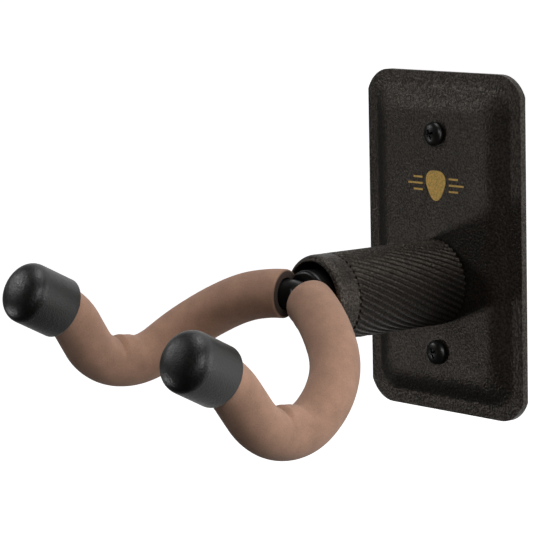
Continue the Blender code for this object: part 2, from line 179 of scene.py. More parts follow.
def add_node(tree, kind, inputs=None, links=None, **settings):
    """Adds a node with its settings, the values of its inputs and the sockets linked to them."""
    node = tree.nodes.new(kind)
    for name, value in settings.items():
        setattr(node, name, value)
    for name, value in (inputs or {}).items():
        node.inputs[name].default_value = value
    for name, socket in (links or {}).items():
        tree.links.new(socket, node.inputs[name])
    return node


def per_mm(size):
    """The scale of a texture, in metres, whose cells are this many millimetres across."""
    return 1000.0 / size


def start_material(name, colour, **values):
    """A material, its tree, its shader with the uniform values set, and Object coordinates."""
    made = bpy.data.materials.new(name)
    made.use_nodes = True
    made.diffuse_color = (*colour, 1.0)
    tree = made.node_tree
    shader = tree.nodes["Principled BSDF"]
    shader.inputs["Base Color"].default_value = (*colour, 1.0)
    for socket, value in values.items():
        shader.inputs[socket.replace("_", " ")].default_value = value
    return made, tree, shader, add_node(tree, "ShaderNodeTexCoord").outputs["Object"]


def shade(colour, factor):
    return (*(min(1.0, c * factor) for c in colour), 1.0)


def set_stops(ramp, colour, *stops):
    """Sets a ramp's stops of (position, factor) to shades of a colour, and gives its output."""
    for stop, (position, factor) in zip(ramp.color_ramp.elements, stops):
        stop.position = position
        stop.color = shade(colour, factor)
    return ramp.outputs["Color"]


def feed(tree, shader, outputs):
    """Links the shader's named inputs to the outputs that drive them."""
    for name, output in outputs.items():
        tree.links.new(output, shader.inputs[name])


def powder_coat(colour):
    """Sprayed and baked powder: a pebbled skin with a dull sheen and a few bright grains."""
    made, tree, shader, where = start_material(
        "Textured black polyester powder coat",
        colour,
        IOR=1.50,
        Specular_Tint=(1.0, 0.86, 0.74, 1.0),
    )
    # Pebbles of about 0.7 mm.
    grains = {"Scale": per_mm(0.7), "Detail": 1.0, "Roughness": 0.5}
    pebble = add_node(tree, "ShaderNodeTexNoise", grains, {"Vector": where}).outputs["Fac"]
    # Cloudy patches of about 6 mm where the coat is a little thicker.
    patches = {"Scale": per_mm(6.0), "Detail": 2.0}
    cloud = add_node(tree, "ShaderNodeTexNoise", patches, {"Vector": where}).outputs["Fac"]
    both = {"A": pebble, "B": cloud}
    mottle = add_node(tree, "ShaderNodeMix", {"Factor": 0.08}, both, data_type="FLOAT").outputs["Result"]
    # Painted shade in the grooves of the knurl: the colour is darkened and the shine lowered there.
    groove = add_node(tree, "ShaderNodeAttribute", attribute_name="groove").outputs["Fac"]
    ramp = add_node(tree, "ShaderNodeValToRGB", None, {"Fac": mottle})
    coat = set_stops(ramp, colour, (0.40, 0.5), (0.62, 1.8))
    # Painted shade: darker colour towards the bottom of each groove.
    darker = add_node(
        tree,
        "ShaderNodeMix",
        {COLOUR_B: shade(colour, 0.7)},
        {MIX_SHARE: groove, COLOUR_A: coat},
        data_type="RGBA",
    )
    levels = {"From Min": 0.38, "From Max": 0.64, "To Min": 0.45, "To Max": 1.0}
    gloss = add_node(tree, "ShaderNodeMapRange", levels, {"Value": mottle}).outputs["Result"]
    # Painted shade: less shine towards the bottom of each groove.
    dull = add_node(tree, "ShaderNodeMix", {"B": 0.4}, {"Factor": groove, "A": gloss}, data_type="FLOAT")
    levels = {"From Min": 0.3, "From Max": 0.7, "To Min": 0.51, "To Max": 0.41}
    rough = add_node(tree, "ShaderNodeMapRange", levels, {"Value": pebble})
    bump = add_node(tree, "ShaderNodeBump", {"Strength": 1.0, "Distance": 0.00028}, {"Height": pebble})
    feed(
        tree,
        shader,
        {
            "Base Color": darker.outputs[MIXED_COLOUR],
            "Specular IOR Level": dull.outputs["Result"],
            "Roughness": rough.outputs["Result"],
            "Normal": bump.outputs["Normal"],
        },
    )
    return made


def black_oxide(colour):
    """Steel blackened in a salt bath: dull satin, a little mottled."""
    made, tree, shader, where = start_material("Black oxide steel", colour, Roughness=0.5, Metallic=0.25)
    # Etched grain of about 0.5 mm.
    grains = {"Scale": per_mm(0.5), "Detail": 4.0}
    grain = add_node(tree, "ShaderNodeTexNoise", grains, {"Vector": where}).outputs["Fac"]
    levels = {"From Min": 0.3, "From Max": 0.7, "To Min": 0.28, "To Max": 0.44}
    rough = add_node(tree, "ShaderNodeMapRange", levels, {"Value": grain})
    bump = add_node(tree, "ShaderNodeBump", {"Strength": 0.35, "Distance": 0.00004}, {"Height": grain})
    feed(tree, shader, {"Roughness": rough.outputs["Result"], "Normal": bump.outputs["Normal"]})
    return made


def zinc_plate(colour):
    """Bright zinc plating: pale, a little cloudy, with a soft spangle."""
    made, tree, shader, where = start_material("Zinc plated steel", colour, Roughness=0.3, Metallic=1.0)
    # Spangle of about 2.5 mm.
    spangle = {"Scale": per_mm(2.5), "Detail": 3.0}
    cloud = add_node(tree, "ShaderNodeTexNoise", spangle, {"Vector": where}).outputs["Fac"]
    ramp = add_node(tree, "ShaderNodeValToRGB", None, {"Fac": cloud})
    plating = set_stops(ramp, colour, (0.0, 0.78), (1.0, 1.12))
    rough = add_node(tree, "ShaderNodeMapRange", {"To Min": 0.22, "To Max": 0.42}, {"Value": cloud})
    feed(tree, shader, {"Base Color": plating, "Roughness": rough.outputs["Result"]})
    return made


def natural_nylon(colour):
    """Unpigmented nylon, moulded: milky, a little cloudy and a little see-through."""
    made, tree, shader, where = start_material(
        "Natural nylon",
        colour,
        Roughness=0.42,
        IOR=1.53,
        Subsurface_Weight=0.25,
        Subsurface_Scale=0.001,
    )
    # Milky clouds of about 1.5 mm.
    clouds = {"Scale": per_mm(1.5), "Detail": 2.0}
    milk = add_node(tree, "ShaderNodeTexNoise", clouds, {"Vector": where}).outputs["Fac"]
    ramp = add_node(tree, "ShaderNodeValToRGB", None, {"Fac": milk})
    feed(tree, shader, {"Base Color": set_stops(ramp, colour, (0.0, 0.9), (1.0, 1.06))})
    return made


def foam_rubber(colour):
    """Closed-cell foam rubber, skinned: matt and dusty, with fine pores and soft mottling."""
    made, tree, shader, where = start_material(
        "Tan closed-cell foam rubber",
        colour,
        Roughness=0.86,
        IOR=1.45,
        Sheen_Weight=0.12,
        Sheen_Roughness=0.5,
    )
    # Pores of about 0.35 mm, drawn at 0.45 mm so that they show, over a dusty mottle of about 5 mm.
    grains = {"Scale": per_mm(0.45), "Detail": 3.0, "Roughness": 0.6}
    pores = add_node(tree, "ShaderNodeTexNoise", grains, {"Vector": where}).outputs["Fac"]
    patches = {"Scale": per_mm(5.0), "Detail": 3.0}
    dust = add_node(tree, "ShaderNodeTexNoise", patches, {"Vector": where}).outputs["Fac"]
    both = {"A": pores, "B": dust}
    mottle = add_node(tree, "ShaderNodeMix", {"Factor": 0.45}, both, data_type="FLOAT").outputs["Result"]
    ramp = add_node(tree, "ShaderNodeValToRGB", None, {"Fac": mottle})
    skin = set_stops(ramp, colour, (0.34, 0.82), (0.66, 1.18))
    # The sliced ends and the bore are drawn far darker than the skin: partly the darker open cells, partly
    # painted shade on the cut ends.
    sliced = add_node(tree, "ShaderNodeAttribute", attribute_name="sliced").outputs["Fac"]
    darker = add_node(
        tree,
        "ShaderNodeMix",
        {COLOUR_B: shade(colour, 0.12)},
        {MIX_SHARE: sliced, COLOUR_A: skin},
        data_type="RGBA",
    )
    bump = add_node(tree, "ShaderNodeBump", {"Strength": 0.35, "Distance": 0.0001}, {"Height": pores})
    feed(tree, shader, {"Base Color": darker.outputs[MIXED_COLOUR], "Normal": bump.outputs["Normal"]})
    return made


def cap_rubber(colour):
    """Vinyl moulded in a spark-eroded mould: fine grain that breaks up its highlights."""
    made, tree, shader, where = start_material("Black moulded vinyl", colour, Roughness=0.45, IOR=1.62)
    # Mould grain of about 0.4 mm, drawn at 0.6 mm so that it shows.
    grains = {"Scale": per_mm(0.6), "Detail": 3.0, "Roughness": 0.6}
    grain = add_node(tree, "ShaderNodeTexNoise", grains, {"Vector": where}).outputs["Fac"]
    ramp = add_node(tree, "ShaderNodeValToRGB", None, {"Fac": grain})
    vinyl = set_stops(ramp, colour, (0.35, 0.7), (0.7, 1.35))
    levels = {"From Min": 0.3, "From Max": 0.7, "To Min": 0.32, "To Max": 0.50}
    rough = add_node(tree, "ShaderNodeMapRange", levels, {"Value": grain}).outputs["Result"]
    bump = add_node(tree, "ShaderNodeBump", {"Strength": 0.8, "Distance": 0.00016}, {"Height": grain})
    feed(tree, shader, {"Base Color": vinyl, "Roughness": rough, "Normal": bump.outputs["Normal"]})
    return made


def gold_ink(colour):
    """Screen-printed metallic ink: flat gold with a fine flake."""
    made, tree, shader, where = start_material(
        "Gold screen-print ink", colour, Roughness=0.5, Metallic=0.1
    )
    # Flake of about 0.5 mm.
    flakes = {"Scale": per_mm(0.5), "Detail": 3.0}
    flake = add_node(tree, "ShaderNodeTexNoise", flakes, {"Vector": where}).outputs["Fac"]
    ramp = add_node(tree, "ShaderNodeValToRGB", None, {"Fac": flake})
    ink = set_stops(ramp, colour, (0.35, 0.72), (0.65, 1.2))
    bump = add_node(tree, "ShaderNodeBump", {"Strength": 0.4, "Distance": 0.0001}, {"Height": flake})
    feed(tree, shader, {"Base Color": ink, "Normal": bump.outputs["Normal"]})
    return made


def floor_paint(colour):
    """Matt white studio floor, lit from within a little so that it stays pale to its far edge."""
    made, tree, shader, where = start_material(
        "Matt white studio floor",
        colour,
        Roughness=0.9,
        Emission_Color=(1.0, 1.0, 1.0, 1.0),
        Emission_Strength=0.80,
    )
    # Scuffs of about 330 mm, three to a metre.
    scuffs = {"Scale": 3.0, "Detail": 2.0}
    scuff = add_node(tree, "ShaderNodeTexNoise", scuffs, {"Vector": where}).outputs["Fac"]
    ramp = add_node(tree, "ShaderNodeValToRGB", None, {"Fac": scuff})
    feed(tree, shader, {"Base Color": set_stops(ramp, colour, (0.0, 0.97), (1.0, 1.03))})
    return made


MADE = {}


def finish_of(slot):
    """The material of one of the record's slots, made on first use."""
    colours = bpy.context.scene.hanger_colours
    maker, colour = {
        "plate_coat": (powder_coat, colours.coat),
        "barrel_coat": (powder_coat, colours.coat),
        "black_steel": (black_oxide, colours.steel),
        "plated_steel": (zinc_plate, colours.zinc),
        "nylon": (natural_nylon, colours.nylon),
        "foam": (foam_rubber, colours.foam),
        "cap_rubber": (cap_rubber, colours.cap),
    }[slot]
    if maker not in MADE:
        MADE[maker] = maker(tuple(colour))
    return MADE[maker]


# ---- mesh tools ----------------------------------------------------------------------------------


def mesh_from(name, points, faces, matrix=Matrix.Identity(4)):
    """A closed mesh with its place in it and its faces outwards."""
    mesh = bpy.data.meshes.new(name)
    mesh.from_pydata([matrix @ Vector(p) for p in points], [], faces)
    shape = bmesh.new()
    shape.from_mesh(mesh)
    bmesh.ops.recalc_face_normals(shape, faces=shape.faces)
    shape.to_mesh(mesh)
    shape.free()
    return mesh


def link(name, mesh):
    obj = bpy.data.objects.new(name, mesh)
    bpy.context.scene.collection.objects.link(obj)
    return obj


def baked(obj):
    """Turns what an object's modifiers give into its plain mesh, and removes them."""
    bpy.context.view_layer.update()
    graph = bpy.context.evaluated_depsgraph_get()
    mesh = bpy.data.meshes.new_from_object(obj.evaluated_get(graph))
    obj.modifiers.clear()
    old = obj.data
    obj.data = mesh
    bpy.data.meshes.remove(old)
    return obj


def complete(obj, slot, body, node, sharp=32.0):
    """Shades a piece, gives it its finish and hangs it on its body in place of a CAD node."""
    mesh = obj.data
    if not mesh.polygons:
        raise RuntimeError(obj.name + " has no faces")
    mesh.shade_smooth()
    mesh.set_sharp_from_angle(angle=radians(sharp))
    mesh.materials.clear()
    mesh.materials.append(finish_of(slot))
    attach(obj, body)
    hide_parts(node)


def arc(centre_r, centre_h, radius, start, end, steps, squash=1.0):
    """Points of an arc in a turned profile, from one angle to another in degrees."""
    angles = [radians(start + (end - start) * k / steps) for k in range(steps + 1)]
    return [(centre_r + radius * squash * cos(a), centre_h + radius * sin(a)) for a in angles]


def grid_faces(rows, columns, closed):
    """Quads of a grid that is joined round its columns, and round its rows if it is closed."""
    faces = []
    for i in range(rows if closed else rows - 1):
        on = (i + 1) % rows
        for j in range(columns):
            side = (j + 1) % columns
            faces.append((i * columns + j, i * columns + side, on * columns + side, on * columns + j))
    return faces


def turned(name, profile, steps, matrix, closed=False):
    """Turns a profile of (radius, height). A profile that isn't closed begins and ends on the axis."""
    ends = [] if closed else [profile[0][1], profile[-1][1]]
    rings = profile if closed else profile[1:-1]
    points = [
        (r * cos(2 * pi * j / steps), r * sin(2 * pi * j / steps), h)
        for r, h in rings
        for j in range(steps)
    ]
    faces = grid_faces(len(rings), steps, closed)
    for which, height in enumerate(ends):
        tip = len(points)
        points.append((0.0, 0.0, height))
        first = 0 if which == 0 else (len(rings) - 1) * steps
        faces += [(tip, first + j, first + (j + 1) % steps) for j in range(steps)]
    return mesh_from(name, points, faces, matrix)


def cut(obj, cutters):
    """Cuts the cutters' meshes out of a piece and removes them."""
    helpers = [link("cutter", mesh) for mesh in cutters]
    for helper in helpers:
        modifier = obj.modifiers.new("Cut", "BOOLEAN")
        modifier.object = helper
        modifier.operation = "DIFFERENCE"
        modifier.solver = "EXACT"
    baked(obj)
    for helper in helpers:
        mesh = helper.data
        bpy.data.objects.remove(helper)
        bpy.data.meshes.remove(mesh)


# ---- Geometry Nodes ------------------------------------------------------------------------------


def start_tree(name, sockets):
    """A Geometry Nodes tree with a geometry input and named inputs of (name, kind, default)."""
    tree = bpy.data.node_groups.new(name, "GeometryNodeTree")
    tree.interface.new_socket("Geometry", in_out="INPUT", socket_type="NodeSocketGeometry")
    tree.interface.new_socket("Geometry", in_out="OUTPUT", socket_type="NodeSocketGeometry")
    for label, kind, default in sockets + [("Material", "NodeSocketMaterial", None)]:
        made = tree.interface.new_socket(label, in_out="INPUT", socket_type=kind)
        if default is not None:
            made.default_value = default
    return tree, add_node(tree, "NodeGroupInput").outputs


def end_tree(tree, geometry, given):
    """Ends a tree in Realize Instances and Set Material."""
    real = add_node(tree, "GeometryNodeRealizeInstances", None, {"Geometry": geometry})
    coated = add_node(
        tree,
        "GeometryNodeSetMaterial",
        None,
        {"Geometry": real.outputs["Geometry"], "Material": given["Material"]},
    )
    add_node(tree, "NodeGroupOutput", None, {"Geometry": coated.outputs["Geometry"]})
    return tree


def grow(obj, tree, values):
    """Runs a tree on a piece with the values of its named inputs, and keeps the mesh it makes."""
    modifier = obj.modifiers.new(tree.name, "NODES")
    modifier.node_group = tree
    for item in tree.interface.items_tree:
        if item.item_type == "SOCKET" and item.in_out == "INPUT" and item.name in values:
            modifier[item.identifier] = values[item.name]
    return baked(obj)


def knurl_tree():
    """Twists a turned piece about +Z and sinks grooves between its ribs.

    The columns of the mesh run along the ribs, so the grooves stay crisp. The attribute "knurl" says
    where the ribs are: 1 on the ribbed skin and 0 elsewhere. It stores how deep each point lies as
    "groove", which the coat uses to paint shade into the grooves.
    """
    tree, given = start_tree(
        "Spiral knurl",
        [
            ("Ribs", "NodeSocketInt", 40),
            ("Depth", "NodeSocketFloat", 0.0006),
            ("Helix", "NodeSocketFloat", 0.46),
            ("Radius", "NodeSocketFloat", 0.0143),
        ],
    )
    place = add_node(tree, "GeometryNodeInputPosition").outputs["Position"]
    parts = add_node(tree, "ShaderNodeSeparateXYZ", None, {"Vector": place}).outputs
    knurl = add_node(tree, "GeometryNodeInputNamedAttribute", {"Name": "knurl"}, data_type="FLOAT")
    known = {name.lower(): given[name] for name in ("Ribs", "Depth", "Helix", "Radius")}
    known.update({name.lower(): parts[name] for name in ("X", "Y", "Z")})
    known["knurl"] = knurl.outputs["Attribute"]
    sums = (
        ("around", "ARCTAN2", "y", "x"),
        ("phase", "MULTIPLY", "around", "ribs"),
        ("wave", "COSINE", "phase"),
        ("below crest", "SUBTRACT", 1.0, "wave"),
        ("share", "MULTIPLY", "below crest", 0.5),
        ("sunk", "POWER", "share", 1.2),
        ("groove", "MULTIPLY", "sunk", "knurl"),
        ("drop", "MULTIPLY", "groove", "depth"),
        ("drop share", "DIVIDE", "drop", "radius"),
        ("shrink", "SUBTRACT", 1.0, "drop share"),
        ("slant", "TANGENT", "helix"),
        ("lead", "DIVIDE", "slant", "radius"),
        ("turned", "MULTIPLY", "z", "lead"),
    )
    for name, operation, *terms in sums:
        numbers = {k: term for k, term in enumerate(terms) if term not in known}
        sockets = {k: known[term] for k, term in enumerate(terms) if term in known}
        known[name] = add_node(tree, "ShaderNodeMath", numbers, sockets, operation=operation).outputs[0]
    thinner = add_node(
        tree, "ShaderNodeCombineXYZ", {"Z": 1.0}, {"X": known["shrink"], "Y": known["shrink"]}
    ).outputs["Vector"]
    sized = add_node(tree, "ShaderNodeVectorMath", None, {0: place, 1: thinner}, operation="MULTIPLY")
    twisted = add_node(
        tree,
        "ShaderNodeVectorRotate",
        None,
        {"Vector": sized.outputs["Vector"], "Angle": known["turned"]},
        rotation_type="Z_AXIS",
    )
    kept = add_node(
        tree,
        "GeometryNodeStoreNamedAttribute",
        {"Name": "groove"},
        {"Geometry": given["Geometry"], "Value": known["groove"]},
        data_type="FLOAT",
        domain="POINT",
    )
    moved = add_node(
        tree,
        "GeometryNodeSetPosition",
        None,
        {"Geometry": kept.outputs["Geometry"], "Position": twisted.outputs["Vector"]},
    )
    return end_tree(tree, moved.outputs["Geometry"], given)


def thread_tree():
    """Winds a thread round a shank that runs down +Z from height 0, with an optional tapered tip."""
    tree, given = start_tree(
        "Screw thread",
        [
            ("Radius", "NodeSocketFloat", 0.002),
            ("Depth", "NodeSocketFloat", 0.0004),
            ("Pitch", "NodeSocketFloat", 0.003),
            ("Turns", "NodeSocketFloat", 8.0),
            ("Tip Turns", "NodeSocketFloat", 0.0),
            ("Start", "NodeSocketFloat", 0.0),
        ],
    )
    steps_a_turn = 28
    square = {"Resolution": 4}
    section = add_node(tree, "GeometryNodeCurvePrimitiveCircle", square, {"Radius": given["Depth"]})
    lengths = []
    for turns in ("Turns", "Tip Turns"):
        terms = {0: given["Pitch"], 1: given[turns]}
        lengths.append(add_node(tree, "ShaderNodeMath", None, terms, operation="MULTIPLY").outputs[0])
    main = add_node(
        tree,
        "GeometryNodeCurveSpiral",
        {"Resolution": steps_a_turn},
        {
            "Rotations": given["Turns"],
            "Start Radius": given["Radius"],
            "End Radius": given["Radius"],
            "Height": lengths[0],
        },
    )
    tip = add_node(
        tree,
        "GeometryNodeCurveSpiral",
        {"Resolution": steps_a_turn, "End Radius": 0.0003},
        {"Rotations": given["Tip Turns"], "Start Radius": given["Radius"], "Height": lengths[1]},
    )
    shift = add_node(tree, "ShaderNodeCombineXYZ", None, {"Z": lengths[0]}).outputs["Vector"]
    lower = add_node(
        tree, "GeometryNodeTransform", None, {"Geometry": tip.outputs["Curve"], "Translation": shift}
    )
    both = add_node(tree, "GeometryNodeJoinGeometry")
    for curve in (main.outputs["Curve"], lower.outputs["Geometry"]):
        upright = add_node(tree, "GeometryNodeSetCurveNormal", None, {"Curve": curve}, mode="Z_UP")
        ridge = add_node(
            tree,
            "GeometryNodeCurveToMesh",
            {"Fill Caps": True},
            {"Curve": upright.outputs["Curve"], "Profile Curve": section.outputs["Curve"]},
        )
        tree.links.new(ridge.outputs["Mesh"], both.inputs["Geometry"])
    start = add_node(tree, "ShaderNodeCombineXYZ", None, {"Z": given["Start"]}).outputs["Vector"]
    placed = add_node(
        tree, "GeometryNodeTransform", None, {"Geometry": both.outputs["Geometry"], "Translation": start}
    )
    whole = add_node(tree, "GeometryNodeJoinGeometry")
    for geometry in (placed.outputs["Geometry"], given["Geometry"]):
        tree.links.new(geometry, whole.inputs["Geometry"])
    return end_tree(tree, whole.outputs["Geometry"], given)


def tree_named(name, maker):
    return bpy.data.node_groups.get(name) or maker()


# ---- the yoke's centreline -----------------------------------------------------------------------


def bent(corners, bends, step):
    """Points along a run of straight stretches joined by arcs, no further apart than step."""
    points = [corners[0]]
    for before, corner, after, radius in zip(corners, corners[1:], corners[2:], bends):
        back = (before - corner).normalized()
        on = (after - corner).normalized()
        half = back.angle(on) / 2
        turn = pi - 2 * half
        start = corner + back * radius / tan(half)
        centre = corner + (back + on).normalized() * radius / sin(half)
        axis = (-back).cross(on).normalized()
        count = 2 * max(1, round(radius * turn / step / 2))
        for k in range(count + 1):
            spoke = Matrix.Rotation(turn * k / count, 3, axis) @ (start - centre)
            points.append(centre + spoke)
    points.append(corners[-1])
    return points


LINE_STEP = 0.00025  # between the points of a centreline


class Centreline:
    """Half of the rod's centreline from its middle, with a steady frame of axes along it."""

    def __init__(self, side):
        corners = [Vector((side * x, -y, z)) for x, y, z in YOKE_CORNERS]
        across = Vector((-corners[1].x, corners[1].y, corners[1].z))
        path = bent([across] + corners, [MIDDLE_BEND] + YOKE_BENDS, 2 * LINE_STEP)
        middle = min(range(len(path)), key=lambda k: abs(path[k].x))
        points = np.array([PIVOT @ p for p in path[middle:]])
        steps = np.linalg.norm(np.diff(points, axis=0), axis=1)
        points = points[np.concatenate([[True], steps > 1e-6])]
        lengths = np.concatenate([[0.0], np.cumsum(steps[steps > 1e-6])])
        self.spaced = np.arange(0.0, lengths[-1], LINE_STEP)
        self.points = self._spread(points, lengths, self.spaced)
        self.tangents = np.gradient(self.points, axis=0)
        for _ in range(6):
            inner = self.tangents[:-2] + 2 * self.tangents[1:-1] + self.tangents[2:]
            self.tangents[1:-1] = inner / 4
        self.tangents /= np.linalg.norm(self.tangents, axis=1)[:, None]
        self.curving = np.gradient(self.tangents, LINE_STEP, axis=0)
        self.sides = self._carried()
        corner = np.array(PIVOT @ corners[BOTTOM_CORNER])
        self.low_bend = self.spaced[np.linalg.norm(self.points - corner, axis=1).argmin()]

    @staticmethod
    def _spread(values, old, new):
        return np.stack([np.interp(new, old, values[:, k]) for k in range(3)], axis=1)

    def _carried(self):
        """A side axis that is carried along the line without twisting."""
        side = np.cross(self.tangents[0], (0.0, 0.0, 1.0))
        carried = []
        for tangent in self.tangents:
            side = side - tangent * (side @ tangent)
            side /= np.linalg.norm(side)
            carried.append(side)
        return np.array(carried)

    def at(self, distance):
        """(point, side axis, up axis, curving) at a distance along the line, or past its end."""
        point, tangent, side, curving = (
            self._spread(values, self.spaced, [distance])[0]
            for values in (self.points, self.tangents, self.sides, self.curving)
        )
        beyond = distance - self.spaced[-1]
        if beyond > 0:
            point = point + tangent * beyond
        tangent = tangent / np.linalg.norm(tangent)
        side = side - tangent * (side @ tangent)
        side /= np.linalg.norm(side)
        return point, side, np.cross(tangent, side), curving

    def spokes(self, distance, sides, order=1):
        """The point at a distance, the directions round it in an order of turn, and its curving."""
        point, side, up, curving = self.at(distance)
        first = 0.0 if order > 0 else pi
        angles = [first + 2 * pi * j / sides * order for j in range(sides)]
        return point, [side * cos(a) + up * sin(a) for a in angles], curving

    def tube(self, name, section, sides, swell):
        """A closed tube from a closed section of (distance along, radius) that swells a little."""
        points = []
        for distance, radius in section:
            point, spokes, curving = self.spokes(distance, sides)
            for out in spokes:
                points.append(tuple(point + out * (radius + swell(distance, radius, out, curving))))
        return mesh_from(name, points, grid_faces(len(section), sides, closed=True))


def line_of(side):
    if side not in LINES:
        LINES[side] = Centreline(side)
    return LINES[side]


LINES = {}


# ---- wall plate ----------------------------------------------------------------------------------


def plate_loop(inset, radius, trim, steps):
    """A rounded rectangle inside the plate's outline, whose straight sides may be trimmed."""
    half_w = PLATE_WIDTH / 2 + trim - inset
    half_h = PLATE_HEIGHT / 2 - inset
    first = degrees(acos(1 - trim / radius))
    corner = arc(half_w - radius, half_h - radius, radius, first, 90, steps)
    loop = corner + [(-x, z) for x, z in reversed(corner)]
    return loop + [(-x, -z) for x, z in corner] + [(x, -z) for x, z in reversed(corner)]


class HANGER_OT_wall_plate(bpy.types.Operator):
    """Presses the wall plate: flat flange, soft step, raised panel and pierced holes"""

    bl_idname = "hanger.wall_plate"
    bl_label = "Wall plate"

    def execute(self, context):
        sizes = context.scene.hanger_sizes
        panel_rise = PANEL_FRONT - sizes.sheet
        trim = 0.0008  # the straight sides are cut this much inside the corner arcs
        step_corner, panel_corner = sizes.corner * 0.7, 0.0060
        screw_hole = 0.0024
        corner_steps, slope_steps, hole_steps = 18, 14, 64
        levels = [(0.0, sizes.corner, trim, 0.0), (sizes.flange, step_corner, 0.0, 0.0)]
        for k in range(1, slope_steps + 1):
            t = k / slope_steps
            corner = step_corner * (1 - t) + panel_corner * t
            rise = panel_rise * (t * (2 - t)) ** 1.5
            levels.append((sizes.flange + sizes.slope * t, corner, 0.0, rise))
        points, count = [], 0
        for inset, radius, cut_in, rise in levels:
            loop = plate_loop(inset, radius, cut_in, corner_steps)
            count = len(loop)
            points += [(x, -sizes.sheet - rise, z) for x, z in loop]
        faces = grid_faces(len(levels), count, closed=False)
        last = (len(levels) - 1) * count
        faces.append(tuple(range(last, last + count)))
        mesh = mesh_from("wall_plate_stamping", points, faces)
        panel = max(mesh.polygons, key=lambda face: face.area)
        if panel.normal.y > 0:
            mesh.flip_normals()
        plate = link("wall_plate_stamping", mesh)
        skin = plate.modifiers.new("Sheet", "SOLIDIFY")
        skin.thickness = sizes.sheet
        skin.offset = -1.0
        skin.use_even_offset = True
        holes = [(BARREL_X, BARREL_Z, SPIGOT_RADIUS + GAP)]
        holes += [(0.0, (low.z + high.z) / 2, screw_hole) for low, high in SCREWS.values()]
        cutters = []
        for x, z, radius in holes:
            matrix = Matrix.Translation((x, 0.0, z)) @ OUT_OF_WALL
            pin = [(0, 0.02), (radius, 0.02), (radius, -0.02), (0, -0.02)]
            cutters.append(turned("hole", pin, hole_steps, matrix))
        cut(baked(plate), cutters)
        edge = plate.modifiers.new("Broken edges", "BEVEL")
        edge.width = 0.00045
        edge.segments = 4
        edge.limit_method = "ANGLE"
        edge.angle_limit = radians(50.0)
        edge.harden_normals = False
        baked(plate)
        complete(plate, "plate_coat", "wall_bracket", "wall_plate")
        return {"FINISHED"}


class HANGER_OT_emblem(bpy.types.Operator):
    """Prints a plain plectrum between ruled lines on the plate"""

    bl_idname = "hanger.emblem"
    bl_label = "Printed emblem"

    def execute(self, context):
        width = context.scene.hanger_sizes.emblem
        screw_z = (SCREWS["upper"][0].z + SCREWS["upper"][1].z) / 2
        centre_z = (screw_z + BARREL_HIGH.z) / 2 + 0.0008
        front, back = -PANEL_FRONT - 0.00006, -PANEL_FRONT + 0.00002
        pick_radius, pick_steps = 0.0047, 48
        pick = []
        for k in range(pick_steps):
            a = 2 * pi * k / pick_steps
            r = pick_radius * (1 + 0.10 * cos(3 * (a - pi / 2 + pi)))
            pick.append((r * cos(a) * 0.98, r * sin(a) * 1.08))
        outlines = [pick]
        gap, rule, pitch = 0.0064, 0.00062, 0.0021
        for side in (1, -1):
            for row, share in ((-1, 0.62), (0, 1.0), (1, 0.62)):
                end = gap + (width / 2 - gap) * share
                low, high = row * pitch - rule / 2, row * pitch + rule / 2
                box = [(gap, low), (end, low), (end, high), (gap, high)]
                outlines.append([(side * x, height) for x, height in box])
        points, faces = [], []
        for outline in outlines:
            first, n = len(points), len(outline)
            for y in (front, back):
                points += [(x, y, centre_z + z) for x, z in outline]
            faces.append(tuple(range(first, first + n)))
            faces.append(tuple(range(first + 2 * n - 1, first + n - 1, -1)))
            for k in range(n):
                on = (k + 1) % n
                faces.append((first + k, first + on, first + n + on, first + n + k))
        emblem = link("printed_emblem", mesh_from("printed_emblem", points, faces))
        emblem.data.materials.append(gold_ink(tuple(context.scene.hanger_colours.print_ink)))
        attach(emblem, "wall_bracket")
        return {"FINISHED"}


# ---- mounting screws -----------------------------------------------------------------------------


def cross_recess(top, matrix):
    """A tapered cross with a pit at its middle, as the driver leaves it in a screw's head."""
    long, short = 0.0024, 0.00052
    above, depth, taper = 0.0010, 0.0017, 0.45
    quarter, twist = pi / 2, radians(24)
    corners = []
    for turn in range(4):
        for point in ((long, -short), (long, short), (short, short)):
            corners.append(Matrix.Rotation(turn * quarter + twist, 2) @ Vector(point))
    points = [(c.x, c.y, top + above) for c in corners]
    points += [(c.x * taper, c.y * taper, top - depth) for c in corners]
    n = len(corners)
    faces = [tuple(range(n)), tuple(range(2 * n - 1, n - 1, -1))]
    faces += [(k, (k + 1) % n, n + (k + 1) % n, n + k) for k in range(n)]
    return mesh_from("cross_recess", points, faces, matrix)


